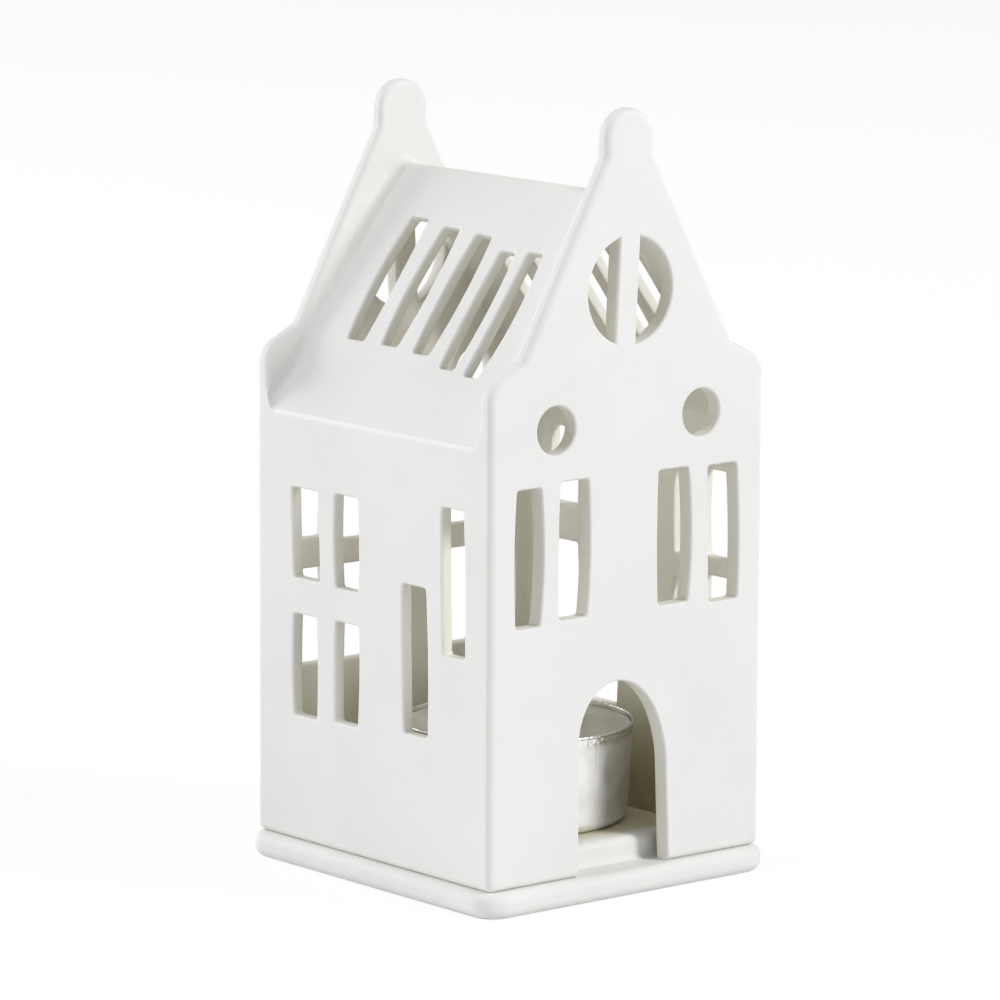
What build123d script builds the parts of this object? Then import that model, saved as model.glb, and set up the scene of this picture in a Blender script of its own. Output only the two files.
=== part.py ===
from build123d import *

import os
from math import atan, cos, degrees, radians, sin, tan

# Tealight house of white porcelain: a canal house shell that lifts off its base plate, and the
# tealight that stands on the plate's plinth. Millimetres, +Z up, door facade towards -Y.
# The origin is the middle of the base plate's underside.

# Base plate, and the plinth that keeps the shell from sliding off
plate_thickness = 4.3
plate_margin_x = 1.5
plate_margin_y = 1.65
plate_corner_radius = 4.7
plate_edge_radius = 1.8
plinth_width = 40.0
plinth_height = 4.0
plinth_clearance = 1.65
plinth_corner_radius = 3.0
plinth_edge_radius = 1.3

# House shell, with every height measured from its foot
house_width = 57.4
house_depth = 60.3
eave_height = 70.7
roof_rise = 39.9
gable_wall = 3.0
side_wall = 2.2
roof_wall = 2.0

# Gable above the eave: shoulder, shelf, straight slope, neck and round finial
shoulder_rise = 9.95
shelf_width = 6.8
shelf_rise = 3.4
neck_rise = 4.7
finial_rise = 12.4
finial_radius = 5.0
shoulder_radius = 4.0
shelf_radius = 1.8
neck_radius = 3.0

# Softened edges of the casting
corner_radius = 1.2
parapet_radius = 0.9
eave_radius = 1.2
ridge_radius = 1.8
cove_radius = 1.8
room_radius = 2.0

# Panes: the tall ones, and the small ones, which stand in blocks with a bar of clay between them
pane_width = 6.0
tall_pane_height = 22.2
small_pane_height = 16.2
pane_bar = 3.8
pane_lean = 0.6
pane_bow = 0.5
pane_corner_radius = 0.6

# Slits in the roof, measured up the slope from the eave
slit_width = 4.0
slit_length = 22.6
slit_foot = 15.0
slit_corner_radius = 0.6

# Hand-cut panes and slits, one row each: shares of the place along the wall, the foot's height,
# the width, the height, the lean, and the bow of the left and of the right side
left_stair_shares = (
    (0.185, 0.320, 0.98, 1.09, 0.8, 0.3, 0.6),
    (0.345, 0.5205, 0.89, 1.07, 0.75, 0.2, 0.4),
)
right_low_shares = ((0.115, 0.257, 1.18, 1.08, 0.4, 0.6, 0.4),)

# Panes whose feet are measured down from the eave, in shares of a tall pane and a bar
facade_pane_shares = (
    (-0.362, -1.107, 0.81, 1.0, -0.3, 0.8, 1.3),
    (-0.199, -1.088, 0.94, 1.0, -0.4, 0.5, 1.0),
    (0.1655, -1.088, 1.04, 0.99, 0.1, 0.4, 1.3),
    (0.350, -1.115, 1.01, 1.01, 0.75, 0.1, 0.8),
)

# Blocks of small panes: shares of their middle's place along the wall, and tables whose places and
# feet are shares of a small pane and a bar, measured from that middle and down from the eave
left_block_share = -0.196
left_block_shares = (
    (-0.541, -1.340, 1.12, 0.915, 0.9, 0.1, 0.1),
    (0.548, -1.350, 0.95, 0.945, 0.3, 0.6, 0.6),
    (-0.554, -2.485, 0.98, 1.04, 0.1, 0.6, 0.4),
    (0.554, -2.460, 0.97, 1.025, -0.4, 0.3, 0.6),
)
right_block_share = -0.2925
right_block_shares = (
    (-0.391, -1.198, 1.02, 0.89, 0.2, 0.4, 0.9),
    (0.391, -1.219, 0.93, 0.915, 0.2, 0.6, 0.5),
    (-0.391, -2.199, 1.01, 1.04, -0.2, 0.5, 0.7),
    (0.391, -2.223, 0.93, 0.975, -0.3, 0.7, 0.4),
)
right_stack_share = 0.285
right_stack_shares = (
    (0, -1.0, 1.12, 0.80, 0.4, 0.3, 0.5),
    (0, -2.185, 1.13, 1.07, 0.1, 0.6, 0.8),
)
rear_left_block_share = -0.292
rear_left_block_shares = (
    (-0.422, -1.174, 1.03, 1.02, 0.3, 0.5, 0.9),
    (0.425, -1.174, 0.97, 1.0, -0.2, 0.6, 0.4),
    (-0.422, -2.185, 1.01, 1.0, -0.1, 0.8, 0.4),
    (0.425, -2.191, 0.98, 1.01, 0.3, 0.4, 0.9),
)
rear_right_block_share = 0.26
rear_right_block_shares = (
    (-0.463, -1.174, 1.0, 1.02, 0.4, 0.8, 0.5),
    (0.463, -1.124, 1.05, 0.96, 0.2, 0.4, 0.7),
    (-0.463, -2.185, 1.01, 1.0, 0.1, 0.5, 0.6),
    (0.463, -2.181, 1.04, 1.0, -0.3, 0.7, 0.5),
)

# Slits of the roof, whose feet are shares of the first slit's height up the slope
left_slit_shares = (
    (-0.249, 1.0, 1.0, 1.03, 0.1, 2.4, 0.4),
    (-0.1045, 1.0, 0.95, 0.99, 0.1, 1.6, 1.2),
    (0.035, 0.97, 0.95, 0.99, -0.1, 1.0, 1.4),
    (0.163, 0.85, 0.83, 0.97, 0.1, 0.6, 1.2),
    (0.2695, 0.81, 0.83, 1.02, 0.1, -0.4, 2.2),
)
right_slit_shares = (
    (-0.365, 1.30, 0.93, 0.83, 0.1, 0.8, 1.4),
    (-0.2355, 1.12, 1.0, 0.90, -0.1, 1.2, 1.0),
    (-0.108, 1.05, 1.0, 0.95, 0.1, 1.3, 0.7),
    (0.0415, 1.0, 0.97, 1.0, 0.1, 0.8, 1.4),
    (0.191, 0.98, 0.95, 1.0, -0.1, 1.2, 0.6),
)

# Round openings of both gables
porthole_radius = 3.9
porthole_drop = 11.05
porthole_offset = 15.2
rose_radius = 8.75
rose_drop = 16.6
mullion_width = 4.4
mullion_lean = 1.0

# Door: its crown is left of the middle, and its right jamb spreads towards the foot
door_width = 18.9
door_height = 31.1
door_left = 10.0
door_crown = 7.9
door_left_rise = 9.4
door_right_rise = 16.1
door_spread = 0.6

# Tealight: drawn aluminium cup with a rolled rim, wax, wick and the wick's sustainer
cup_rim_radius = 19.25
cup_foot_radius = 18.2
cup_height = 16.5
cup_wall = 0.25
cup_heel_radius = 1.2
cup_bead_radius = 0.4
cup_ring_radius = 13.0
cup_ring_rise = 0.6
wax_drop = 0.8
wax_dish = 0.5
wax_clearance = 0.05
wick_radius = 0.7
wick_exposed = 7.0
sustainer_radius = 6.5
sustainer_thickness = 0.4
sustainer_neck_radius = 1.5
sustainer_neck_height = 3.5
tealight_advance = 2.55

# Overrun of each cut past the faces that it opens, and the share of a wall that a rounding may take
overrun = 1.0
rounding_share = 0.45

# Sizes that follow from the ones above
half_width = house_width / 2
half_depth = house_depth / 2
ridge_height = eave_height + roof_rise
shoulder_height = eave_height + shoulder_rise
shelf_height = shoulder_height + shelf_rise
gable_height = ridge_height + finial_rise
room_half_width = half_width - side_wall
room_half_depth = half_depth - gable_wall
roof_angle = degrees(atan(roof_rise / half_width))
room_ridge_height = ridge_height - roof_wall / cos(radians(roof_angle))
room_eave_height = room_ridge_height - room_half_width * tan(radians(roof_angle))
plate_width = house_width + 2 * plate_margin_x
plate_depth = house_depth + 2 * plate_margin_y
plinth_depth = 2 * (room_half_depth - plinth_clearance)
plinth_top = plate_thickness + plinth_height
outer_radius = min(corner_radius, rounding_share * gable_wall)
inner_radius = min(parapet_radius, rounding_share * gable_wall)

# Faces of the shell that its openings are drawn on: x to the viewer's right, y up, z outwards
facade_face = Plane(origin=(0, -half_depth, plate_thickness), x_dir=(1, 0, 0), z_dir=(0, -1, 0))
rear_face = Plane(origin=(0, half_depth, plate_thickness), x_dir=(-1, 0, 0), z_dir=(0, 1, 0))
left_face = Plane(origin=(-half_width, 0, plate_thickness), x_dir=(0, -1, 0), z_dir=(-1, 0, 0))
right_face = Plane(origin=(half_width, 0, plate_thickness), x_dir=(0, 1, 0), z_dir=(1, 0, 0))


def roof_face(side):
    """Plane on the left (-1) or right (1) roof slope: origin at mid eave, y up the slope."""
    eave = (side * half_width, 0, plate_thickness + eave_height)
    outwards = (side * sin(radians(roof_angle)), 0, cos(radians(roof_angle)))
    return Plane(origin=eave, x_dir=(0, side, 0), z_dir=outwards)


def draw_section(half, eave, ridge, foot):
    """Draw the house's cross-section: upright walls under a pointed roof."""
    with BuildLine() as outline:
        Polyline((-half, foot), (half, foot), (half, eave), (0, ridge), (-half, eave), close=True)
    make_face(outline.edges())


def draw_gable():
    """Draw the gable that stands above the roof, ending in a round finial."""
    with BuildLine() as outline:
        rise = FilletPolyline(
            (half_width, 0),
            (half_width, shoulder_height),
            (half_width - shelf_width, shelf_height),
            (finial_radius, ridge_height + neck_rise),
            (finial_radius, gable_height - finial_radius),
            radius=[shoulder_radius, shelf_radius, neck_radius],
        )
        crown = RadiusArc(rise @ 1, (0, gable_height), -finial_radius)
        Line(crown @ 1, (0, 0))
        Line((0, 0), rise @ 0)
    make_face(outline.edges())
    mirror(about=Plane.YZ)


def draw_pane(middle, foot, width, height, lean, left_bow, right_bow):
    """Draw one hand-cut pane, which leans and whose long sides bow by the given lengths."""
    left = middle - width / 2
    right = middle + width / 2
    head = foot + height
    waist = foot + height / 2
    with BuildLine() as outline:
        Line((left + lean / 2, foot), (right + lean / 2, foot))
        ThreePointArc((right + lean / 2, foot), (right + right_bow, waist), (right - lean / 2, head))
        Line((right - lean / 2, head), (left - lean / 2, head))
        ThreePointArc((left - lean / 2, head), (left - left_bow, waist), (left + lean / 2, foot))
    make_face(outline.edges())


def draw_panes(shares, reach, rise, width, height, middle=0, top=0):
    """Draw a table of panes or slits, whose rows are shares of the sizes given here."""
    for place, foot, wide, high, lean, left_bow, right_bow in shares:
        draw_pane(
            middle + place * reach,
            top + foot * rise,
            wide * width,
            high * height,
            lean * pane_lean,
            left_bow * pane_bow,
            right_bow * pane_bow,
        )


def draw_tall_row(shares, reach):
    """Draw a row of tall panes along a wall, hung from the eave."""
    draw_panes(shares, reach, tall_pane_height + pane_bar, pane_width, tall_pane_height, top=eave_height)


def draw_block(shares, middle):
    """Draw a block of small panes about its middle, hung from the eave."""
    reach = pane_width + pane_bar
    rise = small_pane_height + pane_bar
    draw_panes(shares, reach, rise, pane_width, small_pane_height, middle, eave_height)


def draw_round_windows():
    """Draw the two portholes and the rose window, which an upright mullion parts."""
    porthole_height = shelf_height - porthole_drop
    rose_height = ridge_height - rose_drop
    reach = rose_radius + overrun
    half_mullion = mullion_width / 2
    with Locations((-porthole_offset, porthole_height), (porthole_offset, porthole_height)):
        Circle(porthole_radius)
    with Locations((0, rose_height)):
        Circle(rose_radius)
    with BuildLine() as mullion:
        Polyline(
            (-half_mullion - mullion_lean, rose_height - reach),
            (half_mullion - mullion_lean, rose_height - reach),
            (half_mullion, rose_height + reach),
            (-half_mullion, rose_height + reach),
            close=True,
        )
    make_face(mullion.edges(), mode=Mode.SUBTRACT)


def draw_door():
    """Draw the door: two quarter ellipses that meet at the crown, over nearly upright jambs."""
    right = door_width - door_left
    crown = door_crown - door_left
    left_spring = door_height - door_left_rise
    right_spring = door_height - door_right_rise
    reach = right - door_spread - crown
    with BuildLine() as outline:
        Line((-door_left, -overrun), (-door_left, left_spring))
        EllipticalCenterArc((crown, left_spring), door_crown, door_left_rise, start_angle=90, arc_size=90)
        EllipticalCenterArc((crown, right_spring), reach, door_right_rise, start_angle=0, arc_size=90)
        Polyline((right - door_spread, right_spring), (right, 0), (right, -overrun), (-door_left, -overrun))
    make_face(outline.edges())


def cut_wall(wall):
    """Cut the sketched openings through a wall, from just outside it to past the room's corners."""
    extrude(amount=-(overrun + wall + room_radius), mode=Mode.SUBTRACT)


# Room inside the shell, with the soft inner corners of slip-cast clay
with BuildPart() as room:
    with BuildSketch(facade_face.offset(-gable_wall)):
        draw_section(room_half_width, room_eave_height, room_ridge_height, -overrun)
    extrude(amount=-2 * room_half_depth)
    fillet(room.edges().filter_by(Axis.Z), room_radius)

# One gable, rounded at its outer rim and foot, and at the parapet behind
with BuildPart() as gable:
    with BuildSketch(facade_face):
        draw_gable()
    extrude(amount=-gable_wall)
    foot_sides = gable.edges().filter_by(Axis.Y).group_by(Axis.Z)[0]
    fillet(gable.faces().sort_by(Axis.Y)[0].edges() + foot_sides, outer_radius)
    fillet(gable.faces().sort_by(Axis.Y)[-1].edges(), inner_radius)

# Cove in the valley where the roof meets the gable, which runs out at the eaves. Its middle stands a
# little nearer to both faces than its radius, so that it meets them at a slight angle.
cove_middle_share = 0.98
cove_middle = cove_middle_share * cove_radius
cove_bed = rounding_share * cove_radius
with BuildPart() as cove:
    with BuildLine(facade_face.offset(-gable_wall)):
        valley = FilletPolyline(
            (-half_width, eave_height - 2 * eave_radius),
            (-half_width, eave_height),
            (0, ridge_height),
            (half_width, eave_height),
            (half_width, eave_height - 2 * eave_radius),
            radius=[eave_radius, ridge_radius, eave_radius],
        )
    with BuildSketch(Plane(origin=valley @ 0, x_dir=(0, 1, 0), z_dir=(0, 0, 1))):
        with Locations((-cove_bed, -cove_bed)):
            Rectangle(cove_bed + cove_middle, cove_bed + cove_middle, align=(Align.MIN, Align.MIN))
        with Locations((cove_middle, cove_middle)):
            Circle(cove_radius, mode=Mode.SUBTRACT)
    sweep(path=valley)
    with BuildSketch(facade_face):
        Rectangle(house_width, gable_height, align=(Align.CENTER, Align.MIN))
    extrude(amount=-half_depth, mode=Mode.INTERSECT)

# House shell: one thin casting, open at the foot
with BuildPart() as house_shell:
    with BuildSketch(facade_face.offset(-outer_radius)):
        draw_section(half_width, eave_height, ridge_height, 0)
    extrude(amount=-(house_depth - 2 * outer_radius))
    fillet(house_shell.edges().filter_by(Axis.Y).group_by(Axis.Z)[-1], ridge_radius)
    fillet(house_shell.edges().filter_by(Axis.Y).group_by(Axis.Z)[1], eave_radius)
    fillet(house_shell.edges().filter_by(Axis.Y).group_by(Axis.Z)[0], outer_radius)
    for end in (gable, cove):
        add(end.part)
        mirror(end.part, about=Plane.XZ)
    add(room.part, mode=Mode.SUBTRACT)
    with BuildSketch(facade_face.offset(overrun)) as facade_cuts:
        draw_tall_row(facade_pane_shares, house_width)
        fillet(facade_cuts.vertices(), pane_corner_radius)
        draw_round_windows()
        draw_door()
    cut_wall(gable_wall)
    with BuildSketch(rear_face.offset(overrun)) as rear_cuts:
        draw_block(rear_left_block_shares, rear_left_block_share * house_width)
        draw_block(rear_right_block_shares, rear_right_block_share * house_width)
        fillet(rear_cuts.vertices(), pane_corner_radius)
        draw_round_windows()
    cut_wall(gable_wall)
    with BuildSketch(left_face.offset(overrun)) as left_cuts:
        draw_block(left_block_shares, left_block_share * house_depth)
        draw_panes(left_stair_shares, house_depth, eave_height, pane_width, tall_pane_height)
        fillet(left_cuts.vertices(), pane_corner_radius)
    cut_wall(side_wall)
    with BuildSketch(right_face.offset(overrun)) as right_cuts:
        draw_block(right_block_shares, right_block_share * house_depth)
        draw_block(right_stack_shares, right_stack_share * house_depth)
        draw_panes(right_low_shares, house_depth, eave_height, pane_width, tall_pane_height)
        fillet(right_cuts.vertices(), pane_corner_radius)
    cut_wall(side_wall)
    for side, shares in ((-1, left_slit_shares), (1, right_slit_shares)):
        with BuildSketch(roof_face(side).offset(overrun)) as slits:
            draw_panes(shares, house_depth, slit_foot, slit_width, slit_length)
            fillet(slits.vertices(), slit_corner_radius)
        cut_wall(roof_wall)
house_shell.part.label = "house_shell"

# Base plate: a rounded slab under a raised plinth that stands inside the shell's foot
with BuildPart() as base_plate:
    with BuildSketch():
        RectangleRounded(plate_width, plate_depth, plate_corner_radius)
    extrude(amount=plate_thickness)
    rims = base_plate.edges().group_by(Axis.Z)
    fillet(rims[0] + rims[-1], min(plate_edge_radius, rounding_share * plate_thickness))
    with BuildSketch(Plane.XY.offset(plate_thickness)):
        RectangleRounded(plinth_width, plinth_depth, plinth_corner_radius)
    extrude(amount=plinth_height)
    fillet(base_plate.edges().group_by(Axis.Z)[-1], min(plinth_edge_radius, rounding_share * plinth_height))
base_plate.part.label = "base_plate"

# Places and slopes that the tealight's pieces share
tealight_seat = Plane(origin=(0, -tealight_advance, plinth_top))
tealight_side = Plane(origin=tealight_seat.origin, x_dir=(1, 0, 0), z_dir=(0, -1, 0))
tealight_axis = Axis(tealight_seat.origin, (0, 0, 1))
cup_floor = cup_ring_rise + cup_wall
wall_top = cup_height - cup_bead_radius
wall_reach = cup_rim_radius - cup_bead_radius
wall_slope = (wall_reach - cup_foot_radius) / wall_top
wax_top = cup_height - wax_drop
wax_foot_radius = cup_foot_radius - cup_wall - wax_clearance
wax_rim_radius = wax_foot_radius + wall_slope * wax_top

# Tealight cup: drawn from sheet, its floor pushed up inside a standing ring, its rim rolled
with BuildPart() as tealight_cup:
    with BuildSketch(tealight_side):
        with BuildLine():
            outside = FilletPolyline(
                (0, cup_ring_rise),
                (cup_ring_radius - cup_ring_rise, cup_ring_rise),
                (cup_ring_radius, 0),
                (cup_foot_radius, 0),
                (wall_reach, wall_top),
                radius=[0, 0, cup_heel_radius],
            )
            inside = FilletPolyline(
                (wall_reach - cup_wall, wall_top),
                (cup_foot_radius - cup_wall, cup_wall),
                (cup_ring_radius, cup_wall),
                (cup_ring_radius - cup_ring_rise, cup_floor),
                (0, cup_floor),
                radius=[cup_heel_radius, 0, 0],
            )
            Line(outside @ 1, inside @ 0)
            Line(inside @ 1, outside @ 0)
        make_face()
        with Locations((wall_reach, wall_top)):
            Circle(cup_bead_radius)
    revolve(axis=tealight_axis)
tealight_cup.part.label = "tealight_cup"

# Sustainer: a thin steel disc with a neck that grips the wick, standing on the cup's floor
with BuildPart() as wick_sustainer:
    with BuildSketch(tealight_seat.offset(cup_floor)):
        Circle(sustainer_radius)
    extrude(amount=sustainer_thickness)
    with BuildSketch(tealight_seat.offset(cup_floor)):
        Circle(sustainer_neck_radius)
    extrude(amount=sustainer_neck_height)
    with BuildSketch(tealight_seat.offset(cup_floor + sustainer_thickness)):
        Circle(wick_radius)
    extrude(amount=sustainer_neck_height, mode=Mode.SUBTRACT)
wick_sustainer.part.label = "wick_sustainer"

# Wick: it stands in the sustainer's neck and shows above the wax
with BuildPart() as tealight_wick:
    with BuildSketch(tealight_seat.offset(cup_floor + sustainer_thickness)):
        Circle(wick_radius)
    extrude(amount=wax_top - cup_floor - sustainer_thickness + wick_exposed)
    fillet(tealight_wick.edges().group_by(Axis.Z)[-1], rounding_share * wick_radius)
tealight_wick.part.label = "tealight_wick"

# Wax: it fills the cup to just below the rim, slightly dished, round the wick and the sustainer
with BuildPart() as tealight_wax:
    with BuildSketch(tealight_side):
        with BuildLine():
            body = Polyline(
                (0, wax_top - wax_dish),
                (0, cup_floor + wax_clearance),
                (cup_ring_radius - cup_ring_rise, cup_floor + wax_clearance),
                (cup_ring_radius, cup_wall + wax_clearance),
                (wax_foot_radius - cup_heel_radius, cup_wall + wax_clearance),
                (wax_foot_radius, cup_wall + cup_heel_radius),
                (wax_rim_radius, wax_top),
            )
            TangentArc(body @ 0, body @ 1, tangent=(1, 0))
        make_face()
    revolve(axis=tealight_axis)
    add(wick_sustainer.part, mode=Mode.SUBTRACT)
    add(tealight_wick.part, mode=Mode.SUBTRACT)
tealight_wax.part.label = "tealight_wax"

os.makedirs("parts", exist_ok=True)
for piece in (house_shell, base_plate, tealight_cup, tealight_wax, tealight_wick, wick_sustainer):
    export_step(piece.part, f"parts/{piece.part.label}.step")
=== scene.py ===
"""Looks of the porcelain tealight house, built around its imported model.

The shell and the plate are matte bisque porcelain with sponged edges. The tealight has a drawn
aluminium cup, paraffin wax and a braided wick. Lengths are in metres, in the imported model's frame.
"""

import logging
import math
from dataclasses import dataclass, field
from enum import Enum

import bmesh
import bpy
from mathutils import Matrix, Vector


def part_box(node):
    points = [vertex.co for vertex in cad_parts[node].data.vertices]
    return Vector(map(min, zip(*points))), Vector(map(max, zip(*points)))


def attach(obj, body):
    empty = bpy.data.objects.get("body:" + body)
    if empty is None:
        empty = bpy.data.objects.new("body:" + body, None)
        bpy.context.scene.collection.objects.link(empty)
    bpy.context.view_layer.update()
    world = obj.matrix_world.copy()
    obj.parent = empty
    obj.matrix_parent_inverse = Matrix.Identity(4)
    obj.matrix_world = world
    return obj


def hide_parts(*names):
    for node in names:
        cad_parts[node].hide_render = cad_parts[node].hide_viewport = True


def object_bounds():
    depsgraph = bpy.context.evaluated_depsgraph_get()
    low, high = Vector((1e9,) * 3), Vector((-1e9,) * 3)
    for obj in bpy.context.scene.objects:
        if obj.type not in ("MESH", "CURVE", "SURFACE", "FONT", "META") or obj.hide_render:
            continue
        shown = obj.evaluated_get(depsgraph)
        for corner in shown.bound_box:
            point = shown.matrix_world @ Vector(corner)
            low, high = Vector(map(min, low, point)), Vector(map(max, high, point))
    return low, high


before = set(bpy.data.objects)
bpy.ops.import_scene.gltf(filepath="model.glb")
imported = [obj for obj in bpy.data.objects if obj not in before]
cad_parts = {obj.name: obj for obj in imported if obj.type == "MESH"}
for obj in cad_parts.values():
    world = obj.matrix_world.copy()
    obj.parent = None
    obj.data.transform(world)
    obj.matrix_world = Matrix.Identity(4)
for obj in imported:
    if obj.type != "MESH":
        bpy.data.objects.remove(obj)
cad_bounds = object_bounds()

LOG = logging.getLogger("tealight_house")
MILLIMETRE = 0.001
MOST_LEAN = math.radians(25)
WHITE = (1.0, 1.0, 1.0, 1.0)


def mm(value: float) -> float:
    """Turn millimetres into metres."""
    return value * MILLIMETRE


def between(first: tuple, second: tuple, share: float) -> tuple:
    """Find the point at a share of the way from the first to the second."""
    return tuple(a + (b - a) * share for a, b in zip(first, second))


class Socket(Enum):
    """Kinds of named inputs that a geometry tree offers."""

    LENGTH = "NodeSocketFloat"
    COUNT = "NodeSocketInt"
    MATERIAL = "NodeSocketMaterial"


class NodeBuilder:
    """Adds the nodes of one tree and links them."""

    def __init__(self, tree: bpy.types.NodeTree) -> None:
        """Start with the tree's nodes as they are.

        Args:
            tree: the node tree.
        """
        self.tree = tree

    def add(self, kind: str, **values: object) -> bpy.types.Node:
        """Add a node and set its properties and inputs.

        Args:
            kind: the node's type.
            values: properties by name, or inputs by name with underscores for spaces.

        Returns:
            The new node.
        """
        node = self.tree.nodes.new(kind)
        for key, value in values.items():
            if hasattr(node, key):
                setattr(node, key, value)
            else:
                self.feed(value, node.inputs[key.replace("_", " ")])
        return node

    def feed(self, value: object, target: bpy.types.NodeSocket) -> None:
        """Link a socket to an input, or set the input to a constant."""
        if isinstance(value, bpy.types.NodeSocket):
            self.tree.links.new(value, target)
        else:
            target.default_value = value

    def math(self, operation: str, *terms: object) -> bpy.types.NodeSocket:
        """Combine sockets or numbers.

        Args:
            operation: the math node's operation.
            terms: one to three sockets or numbers.

        Returns:
            The result.
        """
        node = self.add("ShaderNodeMath", operation=operation)
        for place, term in enumerate(terms):
            self.feed(term, node.inputs[place])
        return node.outputs["Value"]

    def axes(self, vector: bpy.types.NodeSocket) -> tuple[bpy.types.NodeSocket, ...]:
        """Split a vector into X, Y and Z."""
        return tuple(self.add("ShaderNodeSeparateXYZ", Vector=vector).outputs)

    def blend(
        self, share: bpy.types.NodeSocket, first: bpy.types.NodeSocket, second: bpy.types.NodeSocket
    ) -> bpy.types.NodeSocket:
        """Blend two shaders.

        Args:
            share: how much of the second shows.
            first: a shader.
            second: a shader.

        Returns:
            The blended shader.
        """
        node = self.add("ShaderNodeMixShader", Fac=share)
        self.feed(first, node.inputs[1])
        self.feed(second, node.inputs[2])
        return node.outputs["Shader"]


class ShaderGraph(NodeBuilder):
    """The node tree of one material, laid out in object coordinates."""

    def __init__(self, name: str) -> None:
        """Start a material with only its output.

        Args:
            name: the material's name.
        """
        self.material = bpy.data.materials.new(name)
        self.material.use_nodes = True
        super().__init__(self.material.node_tree)
        self.tree.nodes.clear()
        self.output = self.add("ShaderNodeOutputMaterial")
        self.coordinates = self.add("ShaderNodeTexCoord").outputs["Object"]

    def noise(self, size: float, detail: float = 2.0, stretch: tuple = (1, 1, 1)) -> bpy.types.NodeSocket:
        """Add noise in object coordinates.

        Args:
            size: length of one lump, in metres.
            detail: octaves of the noise.
            stretch: factors on each axis of the pattern.

        Returns:
            The noise's factor, about 0.5 on average.
        """
        place = self.add("ShaderNodeMapping", Vector=self.coordinates, Scale=stretch).outputs["Vector"]
        return self.add("ShaderNodeTexNoise", Vector=place, Scale=1 / size, Detail=detail).outputs["Fac"]

    def ramp(
        self, source: bpy.types.NodeSocket, span: tuple, first: tuple, last: tuple
    ) -> bpy.types.NodeSocket:
        """Turn a factor into a colour between two.

        Args:
            source: the factor.
            span: the factors at which the first and the last colour are reached.
            first: the colour below the span.
            last: the colour above it.

        Returns:
            The colour.
        """
        node = self.add("ShaderNodeValToRGB", Fac=source)
        for element, place, colour in zip(node.color_ramp.elements, span, (first, last)):
            element.position = place
            element.color = (*colour, 1.0)
        return node.outputs["Color"]

    def vary(self, source: bpy.types.NodeSocket, middle: float, swing: float) -> bpy.types.NodeSocket:
        """Turn a factor into a number around a middle.

        Args:
            source: the factor.
            middle: the number at a factor of 0.5.
            swing: how far it goes to either side.

        Returns:
            The number.
        """
        return self.math("MULTIPLY_ADD", source, 2 * swing, middle - swing)

    def fade(self, value: bpy.types.NodeSocket, start: float, end: float) -> bpy.types.NodeSocket:
        """Turn a value into a smooth step from 0 at start to 1 at end.

        Args:
            value: what is measured.
            start: where the step begins.
            end: where it is complete, above or below start.

        Returns:
            The factor.
        """
        node = self.add(
            "ShaderNodeMapRange", interpolation_type="SMOOTHSTEP", Value=value, From_Min=start, From_Max=end
        )
        return node.outputs["Result"]

    def mix(self, share: bpy.types.NodeSocket, first: object, second: object) -> bpy.types.NodeSocket:
        """Mix two colours by a factor.

        Args:
            share: how much of the second shows.
            first: a socket or a colour.
            second: a socket or a colour.

        Returns:
            The mixed colour.
        """
        node = self.add("ShaderNodeMix", data_type="RGBA")
        self.feed(share, node.inputs["Factor"])
        for name, value in (("A", first), ("B", second)):
            socket = [entry for entry in node.inputs if entry.name == name and entry.type == "RGBA"][0]
            self.feed(value if isinstance(value, bpy.types.NodeSocket) else (*value, 1.0), socket)
        return [entry for entry in node.outputs if entry.type == "RGBA"][0]

    def bump(
        self, height: bpy.types.NodeSocket, depth: float, under: bpy.types.NodeSocket | None = None
    ) -> bpy.types.NodeSocket:
        """Turn a height into a normal.

        Args:
            height: the height's factor.
            depth: the height's length in metres at a factor of 1.
            under: a normal to build on, or None.

        Returns:
            The normal.
        """
        node = self.add("ShaderNodeBump", Distance=depth, Height=height)
        if under is not None:
            self.feed(under, node.inputs["Normal"])
        return node.outputs["Normal"]

    def principled(self, **values: object) -> None:
        """Add the principled shader with the given inputs, and link it to the output."""
        shader = self.add("ShaderNodeBsdfPrincipled", **values)
        self.feed(shader.outputs["BSDF"], self.output.inputs["Surface"])


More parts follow.
